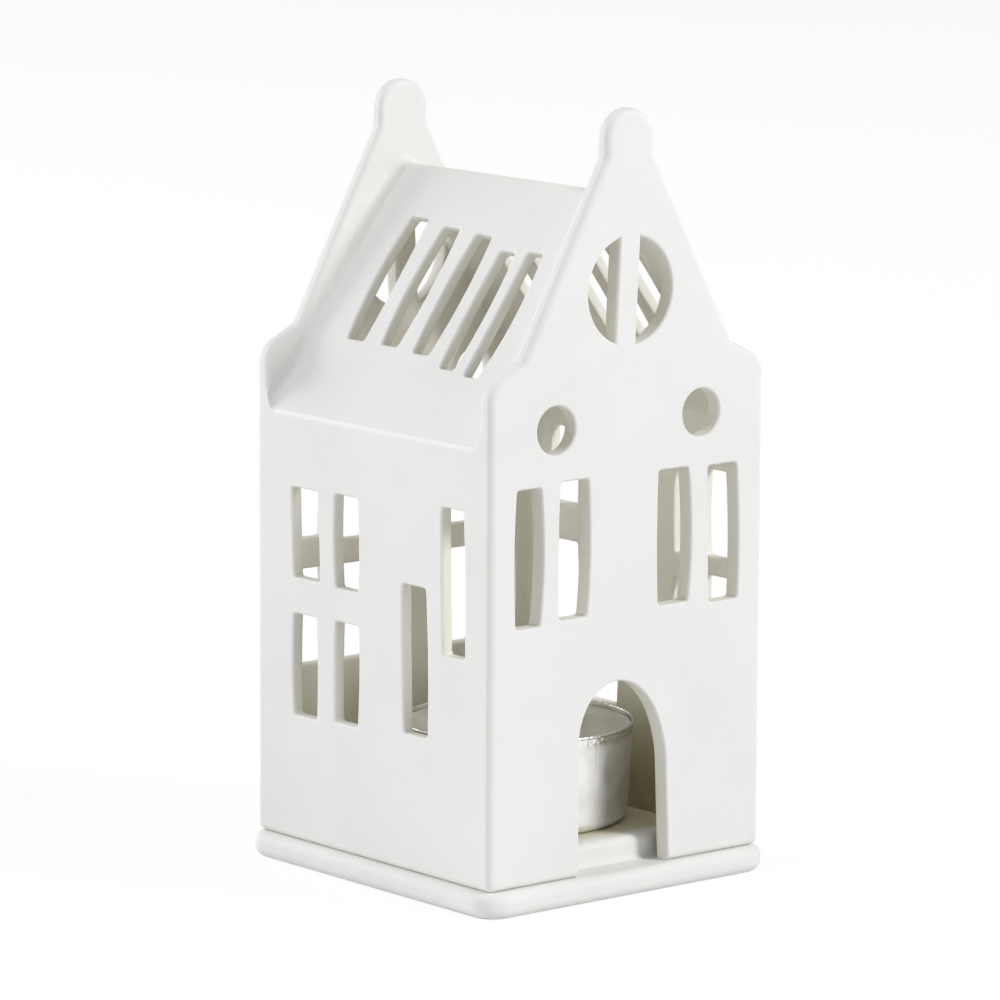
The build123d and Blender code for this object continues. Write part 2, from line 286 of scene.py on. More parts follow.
class GeometryTree(NodeBuilder):
    """A geometry node tree with named inputs, built in the script and turned into a plain mesh."""

    def __init__(self, name: str) -> None:
        """Start a tree with a geometry output.

        Args:
            name: the tree's name.
        """
        super().__init__(bpy.data.node_groups.new(name, "GeometryNodeTree"))
        self.tree.interface.new_socket("Geometry", in_out="OUTPUT", socket_type="NodeSocketGeometry")
        self.inputs = self.add("NodeGroupInput")
        self.output = self.add("NodeGroupOutput")
        self.values: dict[str, object] = {}

    def offer(self, name: str, kind: Socket, value: object) -> bpy.types.NodeSocket:
        """Add a named input.

        Args:
            name: the input's name.
            kind: what it holds.
            value: what the modifier sets it to.

        Returns:
            The input's socket inside the tree.
        """
        self.tree.interface.new_socket(name, in_out="INPUT", socket_type=kind.value)
        self.values[name] = value
        return self.inputs.outputs[name]

    def offer_geometry(self) -> bpy.types.NodeSocket:
        """Add the input of the mesh that the tree works on."""
        self.tree.interface.new_socket("Geometry", in_out="INPUT", socket_type="NodeSocketGeometry")
        return self.inputs.outputs["Geometry"]

    def index(self) -> bpy.types.NodeSocket:
        """Read each point's number."""
        return self.add("GeometryNodeInputIndex").outputs["Index"]

    def position(self) -> bpy.types.NodeSocket:
        """Read each point's position."""
        return self.add("GeometryNodeInputPosition").outputs["Position"]

    def vector(self, x: object, y: object, z: object) -> bpy.types.NodeSocket:
        """Combine three sockets or numbers into a vector."""
        return self.add("ShaderNodeCombineXYZ", X=x, Y=y, Z=z).outputs["Vector"]

    def finish(self, geometry: bpy.types.NodeSocket, material: bpy.types.Material) -> None:
        """End the tree in Realize Instances and Set Material.

        Args:
            geometry: what the tree has made.
            material: the material input's value.
        """
        dressed = self.offer("Material", Socket.MATERIAL, material)
        realized = self.add("GeometryNodeRealizeInstances", Geometry=geometry).outputs["Geometry"]
        painted = self.add("GeometryNodeSetMaterial", Geometry=realized, Material=dressed)
        self.feed(painted.outputs["Geometry"], self.output.inputs["Geometry"])

    def bake(self, name: str, mesh: bpy.types.Mesh | None = None) -> bpy.types.Object:
        """Run the tree and keep the result as a plain mesh.

        Args:
            name: the new object's name.
            mesh: what the tree works on, or None where it makes everything itself.

        Returns:
            The object, without a modifier.
        """
        carrier = link_object(name, mesh or bpy.data.meshes.new(name))
        modifier = carrier.modifiers.new("Nodes", "NODES")
        modifier.node_group = self.tree
        for item in self.tree.interface.items_tree:
            if item.in_out == "INPUT" and item.name in self.values:
                modifier[item.identifier] = self.values[item.name]
        keep_result(carrier)
        return carrier


def link_object(name: str, data: bpy.types.ID) -> bpy.types.Object:
    """Make an object at the origin and link it to the scene.

    Args:
        name: the object's name.
        data: its mesh, lamp or camera.

    Returns:
        The object.
    """
    thing = bpy.data.objects.new(name, data)
    bpy.context.scene.collection.objects.link(thing)
    return thing


def foot_of(low: Vector, high: Vector) -> Vector:
    """Find the middle of a box's underside."""
    return Vector(((low.x + high.x) / 2, (low.y + high.y) / 2, low.z))


def keep_result(thing: bpy.types.Object) -> None:
    """Replace an object's mesh by what its modifiers make of it, and drop the modifiers.

    Args:
        thing: the object.
    """
    graph = bpy.context.evaluated_depsgraph_get()
    graph.update()
    result = bpy.data.meshes.new_from_object(thing.evaluated_get(graph), depsgraph=graph)
    thing.modifiers.clear()
    result.name = thing.name
    thing.data = result


def smooth(thing: bpy.types.Object, crease_angle: float) -> None:
    """Shade an object smooth, with its large faces flat and its creases sharp.

    Args:
        thing: the object.
        crease_angle: the least angle between two faces that part at a crease.
    """
    thing.data.polygons.foreach_set("use_smooth", [True] * len(thing.data.polygons))
    thing.data.set_sharp_from_angle(angle=crease_angle)
    weigh = thing.modifiers.new("Weigh", "WEIGHTED_NORMAL")
    weigh.keep_sharp = True
    keep_result(thing)
    straighten(thing.data, MOST_LEAN)


def straighten(mesh: bpy.types.Mesh, most_lean: float) -> None:
    """Give each corner whose normal leans far from its own face the face's normal.

    Args:
        mesh: the mesh, with its corner normals set.
        most_lean: the largest lean that stays.
    """
    normals = [corner.vector.copy() for corner in mesh.corner_normals]
    for face in mesh.polygons:
        for corner in face.loop_indices:
            if normals[corner].dot(face.normal) < math.cos(most_lean):
                normals[corner] = face.normal.copy()
    mesh.normals_split_custom_set(normals)


def turn_outwards(thing: bpy.types.Object) -> None:
    """Turn all faces over where a closed mesh has them inside out.

    Args:
        thing: the object.
    """
    shape = bmesh.new()
    shape.from_mesh(thing.data)
    if shape.calc_volume(signed=True) < 0:
        bmesh.ops.reverse_faces(shape, faces=shape.faces)
    shape.to_mesh(thing.data)
    shape.free()


def paint(thing: bpy.types.Object, material: bpy.types.Material) -> None:
    """Give an object one material."""
    thing.data.materials.clear()
    thing.data.materials.append(material)


def place_piece(thing: bpy.types.Object, body: str, nodes: tuple[str, ...]) -> None:
    """Let a piece ride on its body and stand for its nodes.

    Args:
        thing: the piece.
        body: the body that it moves with.
        nodes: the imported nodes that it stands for.
    """
    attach(thing, body)
    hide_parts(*nodes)
    LOG.info("%s rides on %s with %d faces", thing.name, body, len(thing.data.polygons))


@dataclass(frozen=True)
class Room:
    """The room inside the shell, by which the inner faces, which carry painted shade, are told from the
    outer ones.
    """

    half_width: float = mm(26.5)
    half_depth: float = mm(27.15)
    side_wall: float = mm(2.2)
    gable_wall: float = mm(3.0)
    roof_wall: float = mm(2.0)
    ridge_height: float = mm(114.9)
    eave_height: float = mm(75)
    roof_angle: float = math.atan(39.9 / 28.7)
    eave_length: float = mm(51.5)
    eave_radius: float = mm(0.6)
    eave_fade: float = mm(1)

    def nearness_to_eave(self, graph: ShaderGraph) -> bpy.types.NodeSocket:
        """Tell the eaves, where the roof meets the side walls between the gables and a highlight line is
        painted.

        Args:
            graph: the material's graph.

        Returns:
            A factor of 1 on the eaves and 0 elsewhere.
        """
        x, y, z = graph.axes(graph.coordinates)
        across = graph.math("SUBTRACT", graph.math("ABSOLUTE", x), self.half_width + self.side_wall)
        above = graph.math("SUBTRACT", z, self.eave_height)
        squares = graph.math("ADD", graph.math("POWER", across, 2.0), graph.math("POWER", above, 2.0))
        near = graph.fade(graph.math("SQRT", squares), self.eave_radius, self.eave_radius / 3)
        half_length = self.eave_length / 2
        ends = graph.fade(graph.math("ABSOLUTE", y), half_length, half_length - self.eave_fade)
        return graph.math("MULTIPLY", near, ends)

    def depth_below_surface(self, graph: ShaderGraph) -> bpy.types.NodeSocket:
        """Measure how deep a point lies in the shell's walls.

        Args:
            graph: the material's graph.

        Returns:
            A factor of 0 on the outer faces and 1 or more on the room's faces.
        """
        x, y, z = graph.axes(graph.coordinates)
        across = graph.math("ABSOLUTE", x)
        along = graph.math("ABSOLUTE", y)
        under = graph.math("SUBTRACT", self.ridge_height, z)
        fall = graph.math("MULTIPLY", across, math.tan(self.roof_angle))
        roof = graph.math("MULTIPLY", graph.math("SUBTRACT", under, fall), math.cos(self.roof_angle))
        side = graph.math("SUBTRACT", self.half_width + self.side_wall, across)
        gable = graph.math("SUBTRACT", self.half_depth + self.gable_wall, along)
        sides = graph.math("DIVIDE", side, self.side_wall)
        gables = graph.math("DIVIDE", gable, self.gable_wall)
        roofs = graph.math("DIVIDE", roof, self.roof_wall)
        return graph.math("MINIMUM", graph.math("MINIMUM", sides, gables), roofs)


@dataclass(frozen=True)
class Plinth:
    """The plate's raised middle, whose top lies in the room, where a dark olive shade is painted on it."""

    half_depth: float = mm(25.5)
    lit_rim: float = mm(0.6)
    full_shade_inset: float = mm(5.0)
    foot_height: float = mm(4.6)
    top_height: float = mm(7.6)
    # Painted dark olive shade on the plinth's top inside the room.
    painted_shade: tuple = (0.64, 0.60, 0.46)

    def nearness_to_top(self, graph: ShaderGraph) -> bpy.types.NodeSocket:
        """Tell the plinth's top, away from its edge, where shade is painted.

        Args:
            graph: the material's graph.

        Returns:
            A factor of 1 on the painted shade of the top and 0 elsewhere.
        """
        _, y, z = graph.axes(graph.coordinates)
        along = graph.math("SUBTRACT", self.half_depth, graph.math("ABSOLUTE", y))
        top = graph.fade(z, self.foot_height, self.top_height)
        return graph.math("MULTIPLY", graph.fade(along, self.lit_rim, self.full_shade_inset), top)


@dataclass(frozen=True)
class Bisque:
    """Unglazed porcelain: chalk white outside, with painted shade, dark and olive, in the room, in its
    reveals and on the plinth's top, and a painted highlight along the eaves, where a room or plinth is
    given.
    """

    name: str
    face: tuple = (0.865, 0.865, 0.85)
    shade: tuple = (0.84, 0.84, 0.825)
    cloud_span: tuple = (0.35, 0.65)
    # Painted shade and light of the room's inner faces: dark olive low down, brightest at mid height,
    # greyer under the roof.
    room_shading_low: tuple = (0.55, 0.51, 0.34)
    room_shading_middle: tuple = (0.98, 0.965, 0.89)
    room_shading_high: tuple = (0.83, 0.81, 0.74)
    room_shading_levels: tuple = (mm(11), mm(36), mm(66), mm(92))
    # Painted highlight line along the eaves.
    eave_highlight: tuple = (0.93, 0.93, 0.92)
    roughness: float = 0.6
    roughness_swing: float = 0.08
    gloss: float = 0.3
    grain_size: float = mm(0.4)
    grain_depth: float = mm(0.012)
    sponge_size: float = mm(9)
    sponge_depth: float = mm(0.10)
    # Painted warm shade in the reveals of the openings.
    reveal_shade: tuple = (0.87, 0.85, 0.78)
    reveal_shade_span: tuple = (0.04, 0.40)
    # Depths in the walls over which the room's painted shading comes in.
    room_shading_span: tuple = (0.86, 0.98)
    room: Room | None = None
    plinth: Plinth | None = None

    def material(self) -> bpy.types.Material:
        """Build the node material.

        Returns:
            The material.
        """
        graph = ShaderGraph(self.name)
        clouds = graph.noise(self.sponge_size * 2, detail=3)
        colour = graph.ramp(clouds, self.cloud_span, self.shade, self.face)
        if self.room:
            colour = self.paint_shade_and_highlight(graph, colour)
        if self.plinth:
            # Painted shade on the plinth's top.
            colour = graph.mix(self.plinth.nearness_to_top(graph), colour, self.plinth.painted_shade)
        speckle = graph.noise(self.grain_size * 3, detail=2)
        sponge = graph.bump(graph.noise(self.sponge_size, detail=3), self.sponge_depth)
        graph.principled(
            Base_Color=colour,
            Roughness=graph.vary(speckle, self.roughness, self.roughness_swing),
            Specular_IOR_Level=self.gloss,
            Normal=graph.bump(graph.noise(self.grain_size, detail=4), self.grain_depth, sponge),
        )
        return graph.material

    def paint_shade_and_highlight(self, graph: ShaderGraph, colour: bpy.types.NodeSocket) -> bpy.types.NodeSocket:
        """Paint a highlight on the eaves, shade on the reveals, and shade and light on the room's faces,
        darker towards the bottom.

        Args:
            graph: the material's graph.
            colour: the outer faces' colour.

        Returns:
            The colour of all faces.
        """
        height = graph.axes(graph.coordinates)[2]
        low, risen, fallen, high = self.room_shading_levels
        # Painted shading of the room by height, darker towards the bottom.
        below = graph.mix(graph.fade(height, low, risen), self.room_shading_low, self.room_shading_middle)
        painted_shade = graph.mix(graph.fade(height, fallen, high), below, self.room_shading_high)
        depth = self.room.depth_below_surface(graph)
        # Painted highlight along the eaves.
        colour = graph.mix(self.room.nearness_to_eave(graph), colour, self.eave_highlight)
        # Painted shade in the reveals.
        colour = graph.mix(graph.fade(depth, *self.reveal_shade_span), colour, self.reveal_shade)
        return graph.mix(graph.fade(depth, *self.room_shading_span), colour, painted_shade)


@dataclass(frozen=True)
class DrawnMetal:
    """Thin drawn sheet: bright, with fine upright drawing marks and dull blotches."""

    name: str
    bright: tuple
    dull: tuple
    roughness: float = 0.36
    smear_swing: float = 0.15
    metallic: float = 0.85
    edge_tint: tuple = (0.45, 0.45, 0.43, 1.0)
    mark_size: float = mm(0.35)
    mark_stretch: tuple = (1, 1, 0.04)
    mark_depth: float = mm(0.012)
    crumple_size: float = mm(1.1)
    crumple_stretch: tuple = (1, 1, 0.5)
    crumple_depth: float = mm(0.045)
    blotch_size: float = mm(5)
    blotch_span: tuple = (0.35, 0.6)
    rim_height: float | None = None
    rim_depth: float = mm(1.3)
    rim_roughness: float = 0.2
    crinkle_size: float = mm(0.9)
    crinkle_depth: float = mm(0.22)

    def material(self) -> bpy.types.Material:
        """Build the node material.

        Returns:
            The material.
        """
        graph = ShaderGraph(self.name)
        blotches = graph.noise(self.blotch_size, detail=4)
        smear = graph.vary(graph.noise(self.blotch_size / 2, detail=3), self.roughness, self.smear_swing)
        creases = graph.noise(self.crumple_size, detail=4, stretch=self.crumple_stretch)
        marks = graph.noise(self.mark_size, detail=3, stretch=self.mark_stretch)
        relief = graph.bump(marks, self.mark_depth, graph.bump(creases, self.crumple_depth))
        if self.rim_height:
            height = graph.axes(graph.coordinates)[2]
            rim = graph.fade(height, self.rim_height - self.rim_depth, self.rim_height)
            crinkle = graph.math("MULTIPLY", graph.noise(self.crinkle_size, detail=2), rim)
            relief = graph.bump(crinkle, self.crinkle_depth, relief)
            plain = graph.math("MULTIPLY", smear, graph.math("SUBTRACT", 1.0, rim))
            smear = graph.math("ADD", plain, graph.math("MULTIPLY", rim, self.rim_roughness))
        graph.principled(
            Base_Color=graph.ramp(blotches, self.blotch_span, self.dull, self.bright),
            Metallic=self.metallic,
            Roughness=smear,
            Specular_Tint=self.edge_tint,
            Normal=relief,
        )
        return graph.material


@dataclass(frozen=True)
class Paraffin:
    """Cast candle wax, a little translucent, with faint crystal mottling."""

    name: str = "paraffin"
    clear: tuple = (0.62, 0.615, 0.55)
    cloudy: tuple = (0.56, 0.555, 0.49)
    mottle_span: tuple = (0.35, 0.65)
    slick: tuple = (0.3,) * 3
    dull: tuple = (0.45,) * 3
    sheen_span: tuple = (0.3, 0.7)
    gloss: float = 0.2
    crystal_size: float = mm(2.4)
    ripple_depth: float = mm(0.05)
    glow_weight: float = 0.25
    glow_radius: tuple = (0.9, 0.8, 0.6)
    glow_scale: float = mm(1.5)

    def material(self) -> bpy.types.Material:
        """Build the node material.

        Returns:
            The material.
        """
        graph = ShaderGraph(self.name)
        mottle = graph.noise(self.crystal_size, detail=4)
        sheen = graph.noise(self.crystal_size * 3, detail=2)
        graph.principled(
            Base_Color=graph.ramp(mottle, self.mottle_span, self.cloudy, self.clear),
            Roughness=graph.ramp(sheen, self.sheen_span, self.slick, self.dull),
            Specular_IOR_Level=self.gloss,
            Subsurface_Weight=self.glow_weight,
            Subsurface_Radius=self.glow_radius,
            Subsurface_Scale=self.glow_scale,
            Normal=graph.bump(mottle, self.ripple_depth),
        )
        return graph.material


@dataclass(frozen=True)
class WaxedCotton:
    """Braided cotton, stiff and slightly glossy with wax."""

    name: str = "waxed_cotton"
    thread: tuple = (0.84, 0.82, 0.75)
    gap: tuple = (0.66, 0.62, 0.52)
    thread_span: tuple = (0.35, 0.6)
    waxy: tuple = (0.6,) * 3
    dry: tuple = (0.8,) * 3
    sheen_span: tuple = (0.3, 0.7)
    fibre_size: float = mm(0.12)
    fibre_stretch: tuple = (1, 1, 0.3)
    fibre_depth: float = mm(0.02)

    def material(self) -> bpy.types.Material:
        """Build the node material.

        Returns:
            The material.
        """
        graph = ShaderGraph(self.name)
        fibres = graph.noise(self.fibre_size, detail=3, stretch=self.fibre_stretch)
        graph.principled(
            Base_Color=graph.ramp(fibres, self.thread_span, self.gap, self.thread),
            Roughness=graph.ramp(fibres, self.sheen_span, self.waxy, self.dry),
            Normal=graph.bump(fibres, self.fibre_depth),
        )
        return graph.material


@dataclass
class CastPiece:
    """A slip-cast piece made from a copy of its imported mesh, with some of its edges sponged round."""

    name: str
    body: str
    node: str
    slot: str
    finish: Bisque
    edge_radius: float
    edge_segments: int = 3
    edge_profile: float = 0.5
    merge_distance: float = mm(0.003)
    flat_angle: float = math.radians(0.4)
    crease_angle: float = math.radians(50)
    square_angle: float = math.radians(90)
    square_slack: float = math.radians(20)

    def is_soft(self, edge: bmesh.types.BMEdge, low: Vector, high: Vector) -> bool:
        """Tell whether an edge is one to sponge round, given the piece's box."""
        raise NotImplementedError

    def is_square(self, edge: bmesh.types.BMEdge) -> bool:
        """Tell whether an edge parts two faces at about a right angle."""
        if len(edge.link_faces) != 2:
            return False
        return abs(edge.calc_face_angle() - self.square_angle) < self.square_slack

    def build(self) -> bpy.types.Object:
        """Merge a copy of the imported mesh, round its soft edges and smooth it.

        Returns:
            The piece.
        """
        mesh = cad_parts[self.node].data.copy()
        mesh.name = self.name
        casting = bmesh.new()
        casting.from_mesh(mesh)
        bmesh.ops.remove_doubles(casting, verts=casting.verts, dist=self.merge_distance)
        bmesh.ops.dissolve_limit(
            casting, angle_limit=self.flat_angle, verts=casting.verts, edges=casting.edges
        )
        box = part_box(self.node)
        soft = [edge for edge in casting.edges if self.is_square(edge) and self.is_soft(edge, *box)]
        bmesh.ops.bevel(
            casting,
            geom=soft,
            offset=self.edge_radius,
            segments=self.edge_segments,
            profile=self.edge_profile,
            affect="EDGES",
            clamp_overlap=False,
            loop_slide=False,
        )
        casting.to_mesh(mesh)
        casting.free()
        piece = link_object(self.name, mesh)
        smooth(piece, self.crease_angle)
        return piece

    def dress(self) -> None:
        """Build the piece, paint it and place it."""
        piece = self.build()
        paint(piece, self.finish.material())
        place_piece(piece, self.body, (self.node,))


@dataclass
class HouseShell(CastPiece):
    """The porcelain shell, whose openings were cut by hand and then sponged."""

    name: str = "porcelain_shell"
    body: str = "house"
    node: str = "house_shell"
    slot: str = "house_porcelain"
    finish: Bisque = field(default_factory=lambda: Bisque("house_bisque", room=Room()))
    edge_radius: float = mm(0.45)
    side_border: float = mm(2.7)
    gable_border: float = mm(4.9)
    foot_border: float = mm(0.2)
    room_corner: float = mm(2.9)
    wall_slack: float = mm(0.1)
    room: Room = Room()

    def is_soft(self, edge: bmesh.types.BMEdge, low: Vector, high: Vector) -> bool:
        """Tell whether an edge is the rim of an opening, away from the casting's own edges."""
        middle = (edge.verts[0].co + edge.verts[1].co) / 2
        off_corner = abs(middle.x) < high.x - self.side_border or abs(middle.y) < high.y - self.gable_border
        off_foot = middle.z > low.z + self.foot_border
        return edge.is_convex and off_corner and off_foot and not self.in_room_corner(middle)

    def in_room_corner(self, place: Vector) -> bool:
        """Tell whether a place lies inside the shell, where two walls of the room meet in a curve."""
        across = self.room.half_width - abs(place.x)
        along = self.room.half_depth - abs(place.y)
        return abs(min(across, along)) < self.wall_slack and max(across, along) < self.room_corner


@dataclass
class BasePlate(CastPiece):
    """The porcelain plate, with the soft inner corner at the foot of its plinth."""

    name: str = "porcelain_plate"
    body: str = "base"
    node: str = "base_plate"
    slot: str = "plate_porcelain"
    finish: Bisque = field(default_factory=lambda: Bisque("plate_bisque", plinth=Plinth()))
    edge_radius: float = mm(0.9)
    edge_segments: int = 4

    def is_soft(self, edge: bmesh.types.BMEdge, low: Vector, high: Vector) -> bool:
        """Tell whether an edge is the corner between plate and plinth."""
        return not edge.is_convex


@dataclass(frozen=True)
class Wrinkles:
    """Unevenness of a turned piece: a noise of its own scale that begins at some height.

    Depth is its reach, across and along are its scales around and up the piece, start and fade are
    where it begins and over what height it grows, and upwards is its share that moves points up.
    """

    depth: float
    across: float
    along: float
    start: float = -1.0
    fade: float = mm(1)
    upwards: float = 0.0


@dataclass
class TurnedPiece:
    """A round piece: a profile turned about an upright axis, with wrinkles, by a geometry tree."""

    name: str
    profile: list[tuple[float, float]]
    centre: Vector
    wrinkles: tuple[Wrinkles, ...] = ()
    columns: int = 300
    seam: float = mm(0.001)
    calm_radius: float = mm(2)
    crease_angle: float = math.radians(45)

    def build(self, material: bpy.types.Material) -> bpy.types.Object:
        """Turn the profile.

        Args:
            material: the piece's material.

        Returns:
            The piece.
        """
        tree = GeometryTree(f"turn_{self.name}")
        source = tree.offer_geometry()
        columns = tree.offer("Columns", Socket.COUNT, self.columns)
        rows = len(self.profile)
        grid = tree.add("GeometryNodeMeshGrid", Vertices_X=tree.math("ADD", columns, 1.0), Vertices_Y=rows)
        index = tree.index()
        row = tree.math("MODULO", index, float(rows))
        column = tree.math("FLOOR", tree.math("DIVIDE", index, float(rows)))
        pick = tree.add(
            "GeometryNodeSampleIndex",
            data_type="FLOAT_VECTOR",
            domain="POINT",
            Geometry=source,
            Value=tree.position(),
            Index=row,
        )
        radius, _, height = tree.axes(pick.outputs["Value"])
        angle = tree.math("MULTIPLY", tree.math("DIVIDE", column, columns), math.tau)
        cosine = tree.math("COSINE", angle)
        sine = tree.math("SINE", angle)
        radius, height = self.wrinkle(tree, radius, height, cosine, sine)
        x = tree.math("MULTIPLY_ADD", radius, cosine, self.centre.x)
        y = tree.math("MULTIPLY_ADD", radius, sine, self.centre.y)
        z = tree.math("ADD", height, self.centre.z)
        shape = tree.add(
            "GeometryNodeSetPosition", Geometry=grid.outputs["Mesh"], Position=tree.vector(x, y, z)
        )
        close = tree.add(
            "GeometryNodeMergeByDistance", Geometry=shape.outputs["Geometry"], Distance=self.seam
        )
        tree.finish(close.outputs["Geometry"], material)
        outline = bpy.data.meshes.new(f"{self.name}_profile")
        outline.from_pydata([(r, 0, z) for r, z in self.profile], [], [])
        piece = tree.bake(self.name, outline)
        turn_outwards(piece)
        smooth(piece, self.crease_angle)
        return piece

    def wrinkle(
        self,
        tree: GeometryTree,
        radius: bpy.types.NodeSocket,
        height: bpy.types.NodeSocket,
        cosine: bpy.types.NodeSocket,
        sine: bpy.types.NodeSocket,
    ) -> tuple[bpy.types.NodeSocket, bpy.types.NodeSocket]:
        """Add each set of wrinkles to the radius and the height.

        Args:
            tree: the geometry tree.
            radius: the profile's radius.
            height: the profile's height.
            cosine: the direction's cosine.
            sine: the direction's sine.

        Returns:
            The wrinkled radius and height.
        """
        level = height
        for number, wrinkles in enumerate(self.wrinkles):
            depth = tree.offer(f"Wrinkle Depth {number}", Socket.LENGTH, wrinkles.depth)
            spread = tree.math("MULTIPLY", radius, wrinkles.across) if wrinkles.upwards else wrinkles.across
            place = tree.vector(
                tree.math("MULTIPLY", cosine, spread),
                tree.math("MULTIPLY", sine, spread),
                tree.math("MULTIPLY", level, wrinkles.along),
            )
            texture = tree.add("ShaderNodeTexNoise", Scale=1.0, Vector=place)
            swing = tree.math("MULTIPLY_ADD", texture.outputs["Fac"], 2.0, -1.0)
            above = tree.math("DIVIDE", tree.math("SUBTRACT", level, wrinkles.start), wrinkles.fade)
            inside = tree.math("MINIMUM", tree.math("DIVIDE", radius, self.calm_radius), 1.0)
            mask = tree.math("MINIMUM", tree.math("MAXIMUM", above, 0.0), inside)
            offset = tree.math("MULTIPLY", tree.math("MULTIPLY", swing, depth), mask)
            radius = tree.math("MULTIPLY_ADD", offset, 1 - wrinkles.upwards, radius)
            height = tree.math("MULTIPLY_ADD", offset, wrinkles.upwards, height)
        return radius, height


def arc(centre: tuple, radius: float, start: float, end: float, steps: int) -> list[tuple[float, float]]:
    """List points on an arc.

    Args:
        centre: the arc's middle.
        radius: its radius.
        start: the first point's direction in degrees.
        end: the last point's direction in degrees.
        steps: how many spans.

    Returns:
        The points, both ends included.
    """
    turns = [math.radians(start + (end - start) * step / steps) for step in range(steps + 1)]
    return [(centre[0] + radius * math.cos(turn), centre[1] + radius * math.sin(turn)) for turn in turns]


def stretch(first: tuple, last: tuple, steps: int) -> list[tuple[float, float]]:
    """List points between two ends, which are left out.

    Args:
        first: the first end.
        last: the last end.
        steps: how many spans.

    Returns:
        The points between.
    """
    return [between(first, last, step / steps) for step in range(1, steps)]


@dataclass
class TealightCup:
    """The drawn aluminium cup: floor, ring, heel, tapered side and rolled, crinkled rim."""

    body: str = "tealight"
    node: str = "tealight_cup"
    slot: str = "cup_aluminium"
    foot_radius: float = mm(18.2)
    wall: float = mm(0.25)
    heel: float = mm(1.9)
    bead: float = mm(0.28)
    bead_turn: tuple[float, float] = (-85, 200)
    ring_radius: float = mm(13.0)
    ring_rise: float = mm(0.6)
    floor_steps: int = 5
    heel_steps: int = 8
    inner_heel_steps: int = 6
    side_steps: int = 34
    bead_steps: int = 16
    columns: int = 480
    finish: DrawnMetal = DrawnMetal(
        "cup_foil", bright=(0.97, 0.97, 0.96), dull=(0.86, 0.86, 0.85), roughness=0.48, rim_height=mm(23.6)
    )
    marks: Wrinkles = Wrinkles(mm(0.035), across=34.0, along=40.0, start=mm(1.5), fade=mm(2))
    dents: Wrinkles = Wrinkles(mm(0.10), across=3.5, along=90.0, start=mm(2), fade=mm(3))
    crinkles: Wrinkles = Wrinkles(
        mm(0.16), across=13.0, along=700.0, start=mm(14.6), fade=mm(1.2), upwards=0.35
    )

    def profile(self, rim_radius: float, height: float) -> list[tuple[float, float]]:
        """Draw the sheet's closed section, from its underside's middle to its floor's middle.

        Args:
            rim_radius: the bead's outer radius.
            height: the cup's height.

        Returns:
            Points of radius and height.
        """
        lip = (rim_radius - self.bead, height - self.bead)
        heel_middle = (self.foot_radius - self.heel, self.heel)
        lean = math.degrees(math.atan2(lip[0] - self.foot_radius, lip[1]))
        heel = arc(heel_middle, self.heel, -90, -lean, self.heel_steps)
        bead = arc(lip, self.bead, self.bead_turn[0] - lean, self.bead_turn[1], self.bead_steps)
        inner_lip = (lip[0] - self.wall, lip[1] - self.bead)
        inner_heel = arc(heel_middle, self.heel - self.wall, -lean, -90, self.inner_heel_steps)
        middle = (0.0, self.ring_rise)
        brink = (self.ring_radius - self.ring_rise, self.ring_rise)
        inner_middle = (0.0, self.ring_rise + self.wall)
        inner_brink = (self.ring_radius - self.ring_rise, self.ring_rise + self.wall)
        return [
            middle,
            *stretch(middle, brink, self.floor_steps),
            brink,
            (self.ring_radius, 0.0),
            *heel,
            *stretch(heel[-1], bead[0], self.side_steps),
            *bead,
            inner_lip,
            *stretch(inner_lip, inner_heel[0], self.side_steps),
            *inner_heel,
            (self.ring_radius, self.wall),
            inner_brink,
            *stretch(inner_brink, inner_middle, self.floor_steps),
            inner_middle,
        ]

    def dress(self) -> None:
        """Turn the cup, paint it and place it."""
        low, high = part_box(self.node)
        profile = self.profile((high.x - low.x) / 2, high.z - low.z)
        wrinkles = (self.marks, self.dents, self.crinkles)
        turned = TurnedPiece("foil_cup", profile, foot_of(low, high), wrinkles, self.columns)
        place_piece(turned.build(self.finish.material()), self.body, (self.node,))


@dataclass
class TealightWax:
    """The wax, dished in the middle and drawn up a little at the cup's side."""

    body: str = "tealight"
    node: str = "tealight_wax"
    slot: str = "wax"
    dish: float = mm(0.5)
    meniscus: float = mm(0.35)
    meniscus_width: float = mm(1.2)
    foot_inset: float = mm(0.65)
    foot_height: float = mm(0.4)
    rings: int = 40
    side_steps: int = 6
    floor_steps: int = 4
    columns: int = 160
    finish: Paraffin = Paraffin()
    ripples: Wrinkles = Wrinkles(mm(0.05), across=300.0, along=0.0, start=mm(10), fade=mm(1), upwards=1.0)

    def level(self, share: float, radius: float, top: float) -> float:
        """Find the wax's height at a share of its radius.

        Args:
            share: the place between middle and rim.
            radius: the wax's radius.
            top: its height at the rim.

        Returns:
            The height there.
        """
        creep = max(0.0, 1 - (1 - share) * radius / self.meniscus_width)
        return top - self.meniscus * (1 - creep**2) - self.dish * (1 - share**2)

    def dress(self) -> None:
        """Turn the wax, paint it and place it."""
        low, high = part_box(self.node)
        radius = (high.x - low.x) / 2
        top = high.z - low.z
        surface = [
            (radius * step / self.rings, self.level(step / self.rings, radius, top))
            for step in range(self.rings + 1)
        ]
        foot = (radius - self.foot_inset, self.foot_height)
        middle = (0.0, self.foot_height)
        side = stretch(surface[-1], foot, self.side_steps)
        profile = [*surface, *side, foot, *stretch(foot, middle, self.floor_steps), middle]
        turned = TurnedPiece("candle_wax", profile, foot_of(low, high), (self.ripples,), self.columns)
        place_piece(turned.build(self.finish.material()), self.body, (self.node,))


